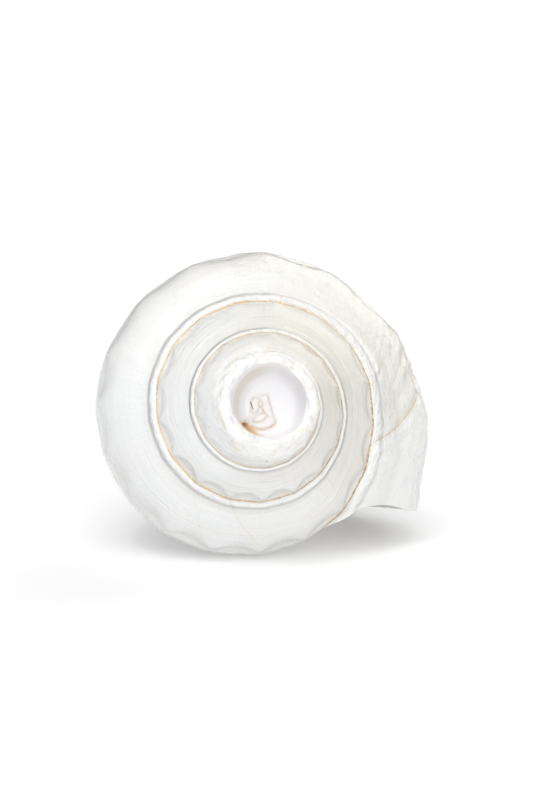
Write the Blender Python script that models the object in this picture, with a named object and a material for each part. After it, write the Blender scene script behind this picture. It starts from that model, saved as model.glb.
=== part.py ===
"""A blowing conch: a heavy white chank shell whose tip was ground off to make a mouth hole.

The shell is one grown piece, so it is one solid: a right-handed spiral tube with a thick wall,
open at the mouth hole and at the aperture. It lies on its belly and on the end of its canal,
with the ground tip towards -Y. Lengths below are in millimetres. Places round the axis are in
turns: turn 0 is the outer lip, -1 is one whorl before it. Depths are along the axis, from the
point where the sutures would meet.
"""

import math

import bmesh
import bpy
import numpy as np
from mathutils import Matrix, Vector

MM = 0.001

# Coiling
GROWTH = 1.51  # each whorl is this many times wider than the one before
LIP_RADIUS = 54.2  # from the axis to the widest line of the last whorl
SPIRE_SLOPE = 1 / math.tan(math.radians(42))  # depth of a suture over its radius
LIP_DIRECTION = math.radians(-59.5)  # of the suture's end, seen along the axis
FIRST_TURN = -3.75  # the whorls before this are ground away
TIP_DEPTH = 147.0

# The visible band of a whorl, from its suture to its widest line: (place, out, down), in shares
BAND = (
    (0.0, 0.0, 0.0),
    (0.17, 0.19, 0.06),
    (0.34, 0.38, 0.15),
    (0.50, 0.58, 0.29),
    (0.66, 0.77, 0.47),
    (0.83, 0.93, 0.72),
    (1.0, 1.0, 1.0),
)
CORD_WIDTH = 0.105  # a raised cord runs just outside the suture, and a channel outside that
CORD_HEIGHT = 0.016  # in widest radii
CORD_ROUNDNESS = 0.7
CHANNEL_AT = 0.155
CHANNEL_DEPTH = 0.015
CHANNEL_WIDTH = 0.06
INNER_FADE = 0.35  # as far as this a whorl still follows the edge of the one before

# The whorl from its widest line to the end of the canal: (depth, radius), in widest radii
BODY = (
    (SPIRE_SLOPE, 1.0),
    (1.25, 0.998),
    (1.40, 0.972),
    (1.55, 0.920),
    (1.70, 0.850),
    (1.86, 0.760),
    (2.03, 0.655),
    (2.19, 0.550),
    (2.34, 0.455),
    (2.49, 0.372),
    (2.64, 0.305),
    (2.78, 0.260),
    (2.90, 0.240),
)

# Growth lines lag behind the suture, by this many turns: they lean over the last whorl, and
# the lip itself is hooked
SLANT = 0.09  # at the widest line
SLANT_CURVE = 0.8
SLANT_FROM = -0.5
SLANT_FULL = -0.12
HOOK = 0.080
HOOK_SHARPNESS = 5.0
HOOK_FROM = -0.1
CANAL_SLANT = 0.04  # at the end of the canal
CANAL_SLANT_FROM = 1.2  # row

# Knobs along the widest line, and scalloped hollows between them that reach up the whorl:
# (turn, hollows counted from the first), further apart near the lip
HOLLOWS = ((-4.3, -40.0), (-1.944, 0.0), (-0.944, 17.0), (-0.5, 25.0), (0.0, 31.5))
KNOB_HEIGHT = 0.012  # in widest radii
KNOB_SOFTNESS = 0.5
KNOB_PLACES = (0.25, 0.8)  # a knob rises between these places
KNOB_WORN = 0.4  # how much lower it is at the widest line
KNOB_WORN_FROM = 0.85
HOLLOW_FROM = 0.68  # place of a hollow's upper edge at its middle
HOLLOW_EDGE = 0.27  # how much lower that edge is on a knob
HOLLOW_EDGE_POWER = 2.5
HOLLOW_SOFTNESS = 0.012
HOLLOW_IN = 0.14  # in widest radii for each share of the band
HOLLOW_DOWN = 0.05
HOLLOW_FADE = 0.88  # how much of it is gone at the widest line
HOLLOW_FADE_FROM = 0.88

# How much of a whorl's profile the next whorl hides, and how much where it climbs a little
COVER = 0.10
CLIMB = 0.30
CLIMB_AT = -1.14
CLIMB_TURNS = 0.09
COVERED_FROM = 1.0
COVERED_FULL = 1.06
KNOBS_GONE = 1.55  # depth in widest radii below which the knobs have faded away

# The whorl bulges a little opposite its lip and near it, and the lip's edge turns out
BULGE = 0.6
BULGE_AT = -0.36
BULGE_TURNS = 0.11
SWELL = 0.3
SWELL_AT = -0.058
SWELL_TURNS = 0.03
EDGE_FLARE = 1.2
EDGE_TURNS = 0.022
SWELL_PLACES = (0.1, 0.9)  # it rises between these places
SWELL_ROWS = (1.2, 1.8)  # and fades between these rows

# Wall, and the folds on the columella: (depth in widest radii)
WALL = 4.4
LIP_WALL = 2.4
LIP_TAPER_TURNS = 0.08
LIP_TAPER_ROW = 0.7  # by this row the lip has its full taper
CANAL_WALL = 2.6
CANAL_WALL_ROWS = (1.5, 1.8)
FOLDS = (2.463, 2.643, 2.823)
FOLD_HEIGHT = 0.035
FOLD_WIDTH = 0.055
FOLD_TURNS = 0.1

# Canal: a slot from the aperture down to the tip, along a thin pillar
TUBE_END = 2.35  # how deep the tube itself reaches, in widest radii
PILLAR_RADIUS = 3.6
GROOVE_TURNS = 0.30
GROOVE_FROM = 108.0
GROOVE_FULL = 132.0
SLOT_TURNS = 0.14
END_ROUND = 1.0  # the canal's end turns in by this much
END_ROUND_FROM = 1.9  # row
END_ROUND_TURNS = (-1.0, -0.8)

# Mouth hole
CUT_DEPTH = 14.6
HOLE_RADIUS = 9.7
HOLE_CENTRE = (1.0, 0.8)
RIM_CREST = 1.8  # from the hole's edge to the crest of its rim
RIM_DROP = 1.2
BOWL_DEPTH = 9.0
BOWL_FLOOR = 6.0  # radius of the flat of the floor
HOLE_SEGMENTS = 40
TUBE_FIRST_TURN = -2.95
NARROW_FROM = -2.1  # the tube narrows on its way up to the mouth hole
NARROWED = 0.5
NARROW_CENTRE = (0.46, 1.42)  # (radius, depth), in widest radii

# Rows across a whorl: 0 at its suture, 1 at its widest line, then these
TUBE_ROW = 1.75  # the end of the tube
END_ROW = 2.0  # the end of the canal

# How finely the surface is divided
STEPS = 54  # to a turn
TUBE_STEPS = 20
SLOT_STEPS = 4
BAND_ROWS = (0.0, 0.0525, 0.15, 0.36, 0.60, 0.76, 0.90, 1.0)
RIM_ROWS = 2
RIM_ROUND = 0.6
# From the widest line (0) to the end of the tube (1), closer together over the folds
BODY_ROWS = (0.13, 0.23, 0.33, 0.43, 0.49, 0.525, 0.56, 0.595, 0.63, 0.665, 0.70, 0.79, 0.89, 1.0)
CANAL_ROWS = 3

FLAT_DEPTH = 0.6  # how much the belly and the canal's end are worn flat where it lies
SHELL_COLOUR = (0.90, 0.88, 0.84, 1.0)


def smoothstep(value, low, high):
    """0 below low, 1 above high and smooth in between."""
    share = np.clip((value - low) / (high - low), 0.0, 1.0)
    return share * share * (3 - 2 * share)


def curve_through(places, values, at):
    """Smooth values at the places asked for, on a curve through the values given."""
    places = np.array(places, float)
    values = np.array(values, float)
    slopes = np.gradient(values, places)
    index = np.clip(np.searchsorted(places, at, side="right") - 1, 0, len(places) - 2)
    width = places[index + 1] - places[index]
    t = np.clip((at - places[index]) / width, 0.0, 1.0)
    start = values[index] * (1 + 2 * t) + slopes[index] * width * t
    end = values[index + 1] * (3 - 2 * t) - slopes[index + 1] * width * (1 - t)
    return start * (1 - t) ** 2 + end * t * t


def bump(value, centre, width):
    return np.exp(-(((value - centre) / width) ** 2))


def size_at(turn):
    """Widest radius of the whorl at that turn."""
    return LIP_RADIUS * GROWTH**turn


def hollow_count(turn):
    """Whole numbers are in the middle of the hollows between knobs."""
    return curve_through(*zip(*HOLLOWS), turn)


def knob(turn):
    """Highest on a knob, lowest halfway between two."""
    along = np.cos(np.pi * hollow_count(turn))
    return 1 - np.sqrt(along * along + KNOB_SOFTNESS**2)


def hollow(turn, across):
    """How deep in the scalloped hollow between two knobs, in shares of the band."""
    count = hollow_count(turn)
    off = 2 * np.abs(count - np.round(count))
    past = across - (HOLLOW_FROM + HOLLOW_EDGE * off**HOLLOW_EDGE_POWER)
    return (past + np.sqrt(past * past + HOLLOW_SOFTNESS**2)) / 2


def swell(turn):
    """How much the last whorl stands out, in mm."""
    edge = EDGE_FLARE * smoothstep(turn, -EDGE_TURNS, 0.0)
    near_lip = SWELL * bump(turn, SWELL_AT, SWELL_TURNS)
    return near_lip + edge + BULGE * bump(turn, BULGE_AT, BULGE_TURNS)


def lag(row, turn):
    """How far a growth line trails the suture there, in turns; row is 1 at the widest line."""
    across = np.minimum(row, 1.0)
    lean = SLANT * across**SLANT_CURVE
    hook = HOOK * (1 - np.exp(-HOOK_SHARPNESS * across)) + (SLANT - HOOK) * across**4
    back = (SLANT - CANAL_SLANT) * smoothstep(row, CANAL_SLANT_FROM, END_ROW)
    grown = smoothstep(turn, SLANT_FROM, SLANT_FULL)
    return grown * (lean - back) + (hook - lean) * smoothstep(turn, HOOK_FROM, 0.0)


def flank(turn, across):
    """(radius, depth) on the visible band, as if no whorl lay inside it.

    Across is 0 at its suture and 1 at its widest line.
    """
    size = size_at(turn)
    covered = COVER + (CLIMB - COVER) * bump(turn, CLIMB_AT, CLIMB_TURNS)
    reach = 1 - covered * smoothstep(-turn, COVERED_FROM, COVERED_FULL)
    places, outs, downs = zip(*BAND)
    out = curve_through(places, outs, across * reach)
    down = curve_through(places, downs, across * reach)
    radius = size * (1 + out * (GROWTH - 1)) / GROWTH
    depth = size * SPIRE_SLOPE * (1 + down * (GROWTH - 1)) / GROWTH
    deep = hollow(turn, across) * (1 - HOLLOW_FADE * smoothstep(across, HOLLOW_FADE_FROM, 1.0))
    raised = KNOB_HEIGHT * knob(turn) * smoothstep(across, *KNOB_PLACES)
    raised = raised * (1 - KNOB_WORN * smoothstep(across, KNOB_WORN_FROM, 1.0))
    return radius + size * (raised - HOLLOW_IN * deep), depth + size * HOLLOW_DOWN * deep


def band(turn, across, swelling):
    """(radius, depth) on the visible band, where it starts at the edge of the whorl before."""
    size = size_at(turn)
    radius, depth = flank(turn, across)
    edge_radius, edge_depth = flank(turn - 1, np.ones_like(turn))
    fade = 1 - smoothstep(across, 0.0, INNER_FADE)
    radius += (edge_radius - size / GROWTH) * fade
    depth += (edge_depth - size * SPIRE_SLOPE / GROWTH) * fade
    radius += swelling * smoothstep(across, *SWELL_PLACES)
    middle = 2 * across / CORD_WIDTH - 1
    raised = CORD_HEIGHT * max(1 - middle * middle, 0.0) ** CORD_ROUNDNESS
    lowered = CHANNEL_DEPTH * bump(across, CHANNEL_AT, CHANNEL_WIDTH)
    lowered *= smoothstep(across, CORD_WIDTH / 2, CHANNEL_AT)
    return radius, depth - size * (raised - lowered)


def body(turn, depth):
    """Radius of the whorl at that depth, below its widest line, without knobs or folds."""
    size = size_at(turn)
    depths, radii = zip(*BODY)
    radius = size * curve_through(depths, radii, depth / size)
    past = np.clip((turn + 1) / GROOVE_TURNS, 0, 1)
    kept = 1 - smoothstep(depth, GROOVE_FROM, GROOVE_FULL) * (1 - past) ** 2
    return PILLAR_RADIUS + (radius - PILLAR_RADIUS) * kept


def outside(turn, depth):
    """Radius of the whorl's outside at that depth, with its knobs and folds."""
    size = size_at(turn)
    low = depth / size
    edge_radius, _ = flank(turn, np.ones_like(turn))
    knobs = (edge_radius - size) * (1 - smoothstep(low, SPIRE_SLOPE, KNOBS_GONE))
    folds = sum(bump(low, fold, FOLD_WIDTH) for fold in FOLDS)
    folds *= 1 - smoothstep(turn, -1.0, FOLD_TURNS - 1)
    return body(turn, depth) + knobs + size * FOLD_HEIGHT * folds


def point_at(turn, radius, depth):
    """Points in the shell's own frame, whose Z runs up the axis and out of the tip."""
    angle = LIP_DIRECTION - 2 * np.pi * turn
    points = np.broadcast_arrays(radius * np.cos(angle), radius * np.sin(angle), -depth)
    return np.stack(points, axis=-1)


def row_depth(widest, row, end):
    """Depth of a row between the widest line's depth and that of the tube's end."""
    return widest + (end - widest) * (min(row, TUBE_ROW) - 1) / (TUBE_ROW - 1)


def canal_depth(row, end):
    """Depth of a row between the tube's end there and the end of the canal."""
    return end + (TIP_DEPTH - end) * (row - TUBE_ROW) / (END_ROW - TUBE_ROW)


def outer_row(turn, row):
    """Points along one row of the outside."""
    late = turn - lag(row, turn)
    if row <= 1:
        return point_at(late, *band(late, row, swell(turn)))
    end = TUBE_END * LIP_RADIUS
    widest = flank(late, np.ones_like(late))[1]
    depth = row_depth(widest, row, end) if row <= TUBE_ROW else canal_depth(row, end)
    radius = outside(late, depth) + swell(turn) * (1 - smoothstep(row, *SWELL_ROWS))
    radius -= END_ROUND * smoothstep(row, END_ROUND_FROM, END_ROW) * smoothstep(turn, *END_ROUND_TURNS)
    return point_at(late, radius, np.broadcast_to(depth, np.shape(turn)))


def lining_row(turn, row, side):
    """Points along one row of the inside: side 1 is under the outer wall, 0 on the columella."""
    end = TUBE_END * size_at(turn)
    if row > TUBE_ROW:
        end = canal_depth(row, end)
    if side == 0:
        depth = row_depth(SPIRE_SLOPE * size_at(turn - 1), row, end)
        return point_at(turn, outside(turn - 1, depth), depth)
    late = turn - lag(row, turn)
    taper = smoothstep(turn, -LIP_TAPER_TURNS, 0.0) * smoothstep(row, 0.0, LIP_TAPER_ROW)
    wall = (WALL + (LIP_WALL - WALL) * taper) * GROWTH**late
    size = size_at(late)
    suture = SPIRE_SLOPE * size / GROWTH + WALL * GROWTH**late
    if row <= 1:
        places, outs, downs = zip(*BAND)
        out = curve_through(places, outs, row)
        down = curve_through(places, downs, row)
        radius = size / GROWTH + (size * (1 - 1 / GROWTH) - wall) * out
        radius += swell(turn) * smoothstep(row, *SWELL_PLACES)
        return point_at(late, radius, suture + (SPIRE_SLOPE * size - suture) * down)
    depth = row_depth(SPIRE_SLOPE * size, row, end)
    wall += (CANAL_WALL - wall) * smoothstep(row, *CANAL_WALL_ROWS)
    slope = body(late, depth + 0.5) - body(late, depth - 0.5)
    radius = body(late, depth) - wall * np.sqrt(1 + slope * slope)
    radius += swell(turn) * (1 - smoothstep(row, *SWELL_ROWS))
    return point_at(late, radius, depth)


def narrowed(points, turns):
    """The tube's points, drawn together where it narrows."""
    size = size_at(turns)
    middle = point_at(turns, NARROW_CENTRE[0] * size, NARROW_CENTRE[1] * size)
    share = smoothstep(-turns, -NARROW_FROM, -TUBE_FIRST_TURN)[:, None]
    return middle + (points - middle) * (1 + (NARROWED - 1) * share)


def shell_mesh():
    """(points, faces) of the closed shell, before its tip is ground off."""
    points = []
    faces = []

    def add(array):
        points.extend(array)
        return list(range(len(points) - len(array), len(points)))

    def join(first, second):
        """A strip of faces between two rows of the same length."""
        for a, b, c, d in zip(first, first[1:], second[1:], second):
            corners = list(dict.fromkeys((a, b, c, d)))
            if len(corners) > 2:
                faces.append(corners)

    widest = len(BAND_ROWS) - 1
    wall_row = WALL / (TUBE_END * LIP_RADIUS - SPIRE_SLOPE * LIP_RADIUS / GROWTH)
    below = TUBE_ROW - 1
    rim_rows = [1 + below * wall_row * (k + 1) / RIM_ROWS for k in range(RIM_ROWS)]
    body_rows = [1 + below * row for row in BODY_ROWS]
    canal_rows = np.linspace(TUBE_ROW, END_ROW, CANAL_ROWS + 1)[1:]
    rows = [*BAND_ROWS, *rim_rows, *body_rows, *canal_rows]
    start = widest + RIM_ROWS  # where the columella's side of the tube begins
    tube_end = start + len(BODY_ROWS)

    # The outside, row by row from the lip backwards; a whorl's widest line is the next one's suture
    count = round(-FIRST_TURN * STEPS)
    turns = -np.arange(count + 1) / STEPS
    grid = [add(outer_row(turns, row)) for row in rows[:widest]]
    grid.append(add(outer_row(turns[:STEPS], rows[widest])) + grid[0][: count + 1 - STEPS])
    grid += [add(outer_row(turns[: STEPS + 1], row)) for row in rows[widest + 1 :]]
    for upper, lower in zip(grid, grid[1:]):
        join(upper, lower)

    # The tip, which is ground off afterwards
    ring = grid[0][count - STEPS :] + [row[count] for row in grid[1:widest]]
    (centre,) = add(np.array([[0.0, 0.0, -SPIRE_SLOPE * size_at(FIRST_TURN) / 2]]))
    faces.extend([a, b, centre] for a, b in zip(ring, ring[1:] + ring[:1]))

    # The tube: the slot of the canal is open as far as SLOT_TURNS, and closed deeper in
    slot = -SLOT_TURNS * np.arange(SLOT_STEPS) / SLOT_STEPS
    deeper = round((-SLOT_TURNS - TUBE_FIRST_TURN) * TUBE_STEPS)
    turns = np.concatenate((slot, np.linspace(-SLOT_TURNS, TUBE_FIRST_TURN, deeper + 1)))
    closing = np.minimum(-turns / SLOT_TURNS, 1.0)
    under = [add(narrowed(lining_row(turns, row, 1), turns)) for row in rows[1:start]]
    beside = []
    for index, row in enumerate(rows[start:]):
        length = len(turns) if index + start <= tube_end else SLOT_STEPS + 1
        outer = narrowed(lining_row(turns[:length], row, 1), turns[:length])
        inner = narrowed(lining_row(turns[:length], row, 0), turns[:length])
        above = tube_end - start - index
        narrow = closing[:length] * (1.0 if above <= 0 else 0.5 if above == 1 else 0.0)
        half = np.sqrt(1 - narrow * narrow)[:, None] * (outer - inner) / 2
        middle = (outer + inner) / 2
        beside.append([grid[index + start][STEPS], *add((middle - half)[1:])])
        if above > 0:
            under.append(add(middle + half))
        else:
            under.append(add((middle + half)[:SLOT_STEPS]) + beside[-1][SLOT_STEPS:])
    under.insert(0, beside[0])
    for side in (under, beside):
        for upper, lower in zip(side, side[1:]):
            join(upper, lower)

    # The tube's blind end
    ring = [row[-1] for row in under[: tube_end + 1]]
    ring += [row[-1] for row in beside[tube_end - start - 1 : 0 : -1]]
    (centre,) = add(np.mean([points[i] for i in ring], axis=0)[None])
    faces.extend([a, b, centre] for a, b in zip(ring, ring[1:] + ring[:1]))

    # The lip's rim, rounded, and the flat end of the canal
    first = np.array([points[row[0]] for row in grid])
    last = np.array([points[row[0]] for row in under])
    ahead = first - np.array([points[row[1]] for row in grid])
    ahead *= RIM_ROUND / np.linalg.norm(ahead, axis=1)[:, None]
    edge = [row[0] for row in grid]
    end_face = [edge[-1]]
    for k in range(1, RIM_ROWS + 1):
        share = k / RIM_ROWS
        line = [row[0] for row in under]
        if k < RIM_ROWS:
            middle = first + (last - first) * share + 4 * share * (1 - share) * ahead
            line = [grid[widest + k][STEPS], *add(middle[1:])]
        join(edge, line)
        end_face.append(line[-1])
        edge = line
    faces.append(end_face + under[-1][1:] + beside[-1][-2:0:-1] + grid[-1][STEPS:0:-1])
    return np.array(points), faces


def lying(points):
    """The matrix from the shell's own frame to the table's, in millimetres."""
    belly = points[points[:, 2] > -GROOVE_FROM]
    tail = points[points[:, 2] <= -GROOVE_FROM]
    low, high = 0.0, math.pi / 4
    for _ in range(40):
        pitch = (low + high) / 2
        up = np.array((0.0, math.cos(pitch), math.sin(pitch)))
        if (tail @ up).min() > (belly @ up).min():
            low = pitch
        else:
            high = pitch
    turned = Matrix.Rotation(math.pi / 2 - pitch, 4, "X")
    crest = np.array([point for point in hole_cutter()[0] if point[2] == -CUT_DEPTH])
    kept = np.concatenate((points[points[:, 2] < -CUT_DEPTH], crest))
    laid = kept @ np.array(turned.to_3x3()).T
    least, most = laid.min(axis=0), laid.max(axis=0)
    middle = (least + most) / 2
    return Matrix.Translation((-middle[0], -middle[1], -FLAT_DEPTH - least[2])) @ turned


def add_object(name, points, faces, matrix):
    """A closed mesh, its normals facing out, from points in millimetres."""
    data = bpy.data.meshes.new(name)
    data.from_pydata([matrix @ Vector(point) * MM for point in points], [], faces)
    mesh = bmesh.new()
    mesh.from_mesh(data)
    bmesh.ops.recalc_face_normals(mesh, faces=mesh.faces)
    mesh.to_mesh(data)
    mesh.free()
    shape = bpy.data.objects.new(name, data)
    bpy.context.scene.collection.objects.link(shape)
    return shape


def hole_cutter():
    """(points, faces) of what was ground off the tip, down to the floor of the mouth hole."""
    floor = CUT_DEPTH + BOWL_DEPTH
    crest = HOLE_RADIUS + RIM_CREST
    profile = (
        (BOWL_FLOOR, floor),
        (BOWL_FLOOR + 2.4, floor - 1.2),
        (HOLE_RADIUS - 0.3, floor - 3.6),
        (HOLE_RADIUS, CUT_DEPTH + 1.8),
        (HOLE_RADIUS + 0.5, CUT_DEPTH + 0.6),
        (crest, CUT_DEPTH),
        (crest + 1.4, CUT_DEPTH + 0.25),
        (crest + 2.6, CUT_DEPTH + RIM_DROP),
        (LIP_RADIUS / 2, CUT_DEPTH + RIM_DROP),
        (LIP_RADIUS / 2, -CUT_DEPTH),
    )
    points = []
    for radius, depth in profile:
        for k in range(HOLE_SEGMENTS):
            angle = 2 * math.pi * k / HOLE_SEGMENTS
            x = HOLE_CENTRE[0] + radius * math.cos(angle)
            points.append((x, HOLE_CENTRE[1] + radius * math.sin(angle), -depth))
    faces = [list(range(HOLE_SEGMENTS)), list(range(len(points) - HOLE_SEGMENTS, len(points)))]
    for ring in range(len(profile) - 1):
        first = ring * HOLE_SEGMENTS
        for k in range(HOLE_SEGMENTS):
            a, b = first + k, first + (k + 1) % HOLE_SEGMENTS
            faces.append([a, b, b + HOLE_SEGMENTS, a + HOLE_SEGMENTS])
    return points, faces


def ground_block():
    """(points, faces) of the block under the table's surface."""
    side = 2 * TIP_DEPTH
    points = [(x, y, z) for z in (-side, 0.0) for y in (-side, side) for x in (-side, side)]
    faces = [[0, 1, 3, 2], [4, 5, 7, 6], [0, 1, 5, 4], [2, 3, 7, 6], [0, 2, 6, 4], [1, 3, 7, 5]]
    return points, faces


def cut(shape, cutter):
    cutter.hide_render = True
    cutter.display_type = "WIRE"
    change = shape.modifiers.new(cutter.name, "BOOLEAN")
    change.operation = "DIFFERENCE"
    change.solver = "EXACT"
    change.object = cutter


def main():
    for old in list(bpy.data.objects):
        bpy.data.objects.remove(old)

    points, faces = shell_mesh()
    matrix = lying(points)
    shell = add_object("conch_shell", points, faces, matrix)
    cut(shell, add_object("mouth_cutter", *hole_cutter(), matrix))
    cut(shell, add_object("ground_cutter", *ground_block(), Matrix.Identity(4)))

    material = bpy.data.materials.new("white shell")
    material.use_nodes = True
    surface = material.node_tree.nodes["Principled BSDF"]
    surface.inputs["Base Color"].default_value = SHELL_COLOUR
    surface.inputs["Roughness"].default_value = 0.35
    surface.inputs["Metallic"].default_value = 0.0
    shell.data.materials.append(material)
    shell.data.shade_smooth()
    shell.data.set_sharp_from_angle(angle=math.radians(40))


main()
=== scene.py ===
"""A blowing conch, dressed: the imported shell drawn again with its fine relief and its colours.

The shell's own frame is used throughout: its Z runs up the axis and out of the ground tip, its
origin is the point where the sutures would meet, and lengths are in millimetres. Places round
the axis are in turns: turn 0 is the outer lip, -1 is one whorl before it. Places across a whorl
are rows: 0 at the suture, 1 at the widest line, TUBE_ROW at the tube's end, 2 at the canal's end.
A pair of places is where a change begins and where it is complete.
"""

import math

import bpy
import numpy as np
from mathutils import Matrix, Vector, noise


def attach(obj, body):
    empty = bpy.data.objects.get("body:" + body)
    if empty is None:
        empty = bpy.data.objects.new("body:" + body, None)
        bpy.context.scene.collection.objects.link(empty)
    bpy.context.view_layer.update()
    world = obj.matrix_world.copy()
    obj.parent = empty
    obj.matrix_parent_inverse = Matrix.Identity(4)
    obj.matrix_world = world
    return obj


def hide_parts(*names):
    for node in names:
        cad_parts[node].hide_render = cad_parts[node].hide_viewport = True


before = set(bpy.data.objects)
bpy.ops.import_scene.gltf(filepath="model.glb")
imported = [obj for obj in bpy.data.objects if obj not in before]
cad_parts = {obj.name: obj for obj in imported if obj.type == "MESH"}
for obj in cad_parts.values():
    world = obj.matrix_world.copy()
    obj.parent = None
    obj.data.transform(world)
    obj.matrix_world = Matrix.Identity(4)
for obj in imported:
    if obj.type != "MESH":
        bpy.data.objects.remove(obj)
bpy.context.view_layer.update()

MM = 0.001
NODE = "conch_shell"

# Where the shell's own frame lies: the virtual tip, and how far the axis is raised
PITCH = math.radians(15.6606)
VIRTUAL_TIP = (-4.820, -77.297, 48.344)
FROM_SHELL = Matrix.Translation(VIRTUAL_TIP) @ Matrix.Rotation(math.pi / 2 - PITCH, 4, "X")

# Coiling
GROWTH = 1.51
LIP_RADIUS = 54.2
SPIRE_SLOPE = 1 / math.tan(math.radians(42))
LIP_DIRECTION = math.radians(-59.5)
FIRST_TURN = -4.1
FIRST_SUTURE = -2.385  # before this turn the suture is ground away
SUTURE_SEEN = (FIRST_SUTURE - 0.10, FIRST_SUTURE + 0.03)
LAST_WHORL = (-1.08, -0.92)
TUBE_ROW = 1.75
TIP_DEPTH = 147.0

# The visible band of a whorl: (row, share of the way out, share of the way down)
BAND = (
    (0.0, 0.0, 0.0), (0.17, 0.19, 0.06), (0.34, 0.38, 0.15), (0.50, 0.58, 0.29),
    (0.66, 0.77, 0.47), (0.83, 0.93, 0.72), (1.0, 1.0, 1.0),
)
CORD_WIDTH = 0.135
CORD_HEIGHT = 0.0165
CORD_POWER = 1.3
CORD_UNEVEN = 0.18
CORD_WIDENS = (-0.45, -0.10)
CORD_WIDER = 0.8
CHANNEL_AT = 0.19
CHANNEL_DEPTH = 0.007
CHANNEL_WIDTH = 0.08

# The body below the widest line: (depth, radius), in shares of the whorl's size
BODY = (
    (SPIRE_SLOPE, 1.0), (1.25, 0.998), (1.40, 0.972), (1.55, 0.920), (1.70, 0.850),
    (1.86, 0.760), (2.03, 0.655), (2.19, 0.550), (2.34, 0.455), (2.49, 0.372),
    (2.64, 0.305), (2.78, 0.260), (2.90, 0.240),
)

SLANT = 0.09
SLANT_FROM = -0.5
SLANT_FULL = -0.12
HOOK = 0.080
HOOK_SHARPNESS = 5.0
HOOK_FROM = -0.1
CANAL_SLANT = 0.04

# (turn, hollows between knobs counted from the first): they are further apart near the lip
HOLLOWS = ((-4.3, -40.0), (-1.944, 0.0), (-0.944, 17.0), (-0.5, 25.0), (0.0, 31.5))
KNOB_HEIGHT = 0.012
KNOB_SOFTNESS = 0.5
KNOB_ROWS = (0.25, 0.8)
KNOB_LOWER = 0.4  # share of a knob's height that is gone at the widest line
HOLLOW_FROM = 0.68
HOLLOW_EDGE = 0.27
HOLLOW_EDGE_POWER = 2.5
HOLLOW_SOFTNESS = 0.012
HOLLOW_SOFTER = 2.5  # how much is added to that on the last whorl
HOLLOW_IN = 0.14
HOLLOW_DOWN = 0.05
HOLLOW_FADE = 0.88  # how much of it is gone at the widest line
HOLLOWS_SINCE = (-3.20, -3.05)
# Where the hollows are worn shallow: (turn, turns to each side, share gone)
HOLLOWS_WORN = ((-0.54, 0.17, 0.70), (-1.36, 0.20, 0.65), (-2.40, 0.20, 0.60), (-2.88, 0.22, 0.90))
COVER = 0.10  # how much of a whorl's profile the next one hides, and how much where it climbs
CLIMB = 0.30
CLIMB_AT = -1.14
CLIMB_TURNS = 0.09
EDGE_SPREAD = 0.35  # how far across the band the edge before it is followed

SWELL = 0.3
SWELL_AT = -0.058
SWELL_TURNS = 0.03
BULGE = 0.6
BULGE_AT = -0.36
BULGE_TURNS = 0.11
EDGE_FLARE = 1.2
EDGE_TURNS = 0.022

WALL = 4.4
LIP_WALL = 2.4
LIP_TAPER_TURNS = 0.08
CANAL_WALL = 2.6
FOLDS = (2.463, 2.643, 2.823)
FOLD_HEIGHT = 0.035
FOLD_WIDTH = 0.055
FOLD_TURNS = 0.1

TUBE_END = 2.35
PILLAR_RADIUS = 3.6
GROOVE_TURNS = 0.30
GROOVE_FROM = 108.0
GROOVE_FULL = 132.0
SLOT_TURNS = 0.14
END_ROUND = 1.0

# Mouth hole
CUT_DEPTH = 14.6
HOLE_RADIUS = 9.7
HOLE_CENTRE = (1.0, 0.8)
RIM_CREST = 1.8
RIM_SLOPE = 0.9
RIM_TURNS_OVER = 1.8  # how far outside its crest the rim reaches that slope
RIM_INNER_DROP = 0.6
# How much higher the rim is than the cut: on the whole, and more towards one side
RIM_LIFT = 1.84
RIM_TILT = 1.4
RIM_TILT_TOWARD = math.radians(230)
RING_REACH = 12.5
RING_REACH_MORE = 1.3
RING_FADE = (-0.9, 3.0)  # past its reach
RING_SINKS = (4.0, 8.0)  # how far below the rim the shell is left as it was
GRIND_SOFTNESS = 0.5
GRIND_REACH = (3.0, 7.5)  # past the hole's edge
GRIND_LEAVES = (-0.9, 0.2)  # how far above the rim relief goes
WORN_BROAD = 0.45
WORN_FINE = 0.20
BOWL_DEPTH = 7.6
BOWL_FLOOR = 6.0
BOWL_CORNER = 3.2
BOWL_LEANS_IN = 1.5
BOWL_LEANS_TOWARD = math.radians(160)
BOWL_UNDERCUT = 1.4
BOWL_UNDERCUT_TOWARD = math.radians(5)
TUBE_FIRST_TURN = -2.95
NARROW_FROM = -2.1
NARROWED = 0.5
NARROW_CENTRE = (0.46, 1.42)

# Fine relief of the outside
WRINKLES = 92
WRINKLE = 0.16
WRINKLE_LATE = 0.20
WRINKLE_LATE_AT = -0.27
WRINKLE_LATE_TURNS = 0.22
SPIRAL = 0.11
BROAD = 0.30
LOCAL = 0.20
GROWTH_STOP = -0.111
GROWTH_STEP = 0.35
GROWTH_GROOVE = 0.25

# How finely the surface is divided
STEPS = 276
TUBE_STEPS = 72
SLOT_STEPS = 12
SLOT_CLOSES_OVER = 5  # rows
RIM_ROWS = 5
RIM_ROUND = 0.6
CANAL_ROWS = 8
HOLE_SEGMENTS = 176
OUTSIDE, LINING = 0, 1  # the shell's materials, by number


def step(value, low, high):
    """0 at low, 1 at high, smooth between."""
    share = np.clip((value - low) / (high - low), 0.0, 1.0)
    return share * share * (3 - 2 * share)


def curve_through(places, values, at):
    """A smooth curve through those values, at each of the places asked for."""
    places = np.array(places, float)
    values = np.array(values, float)
    slopes = np.gradient(values, places)
    index = np.clip(np.searchsorted(places, at, side="right") - 1, 0, len(places) - 2)
    width = places[index + 1] - places[index]
    t = np.clip((at - places[index]) / width, 0.0, 1.0)
    start = values[index] * (1 + 2 * t) + slopes[index] * width * t
    end = values[index + 1] * (3 - 2 * t) - slopes[index + 1] * width * (1 - t)
    return start * (1 - t) ** 2 + end * t * t


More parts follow.
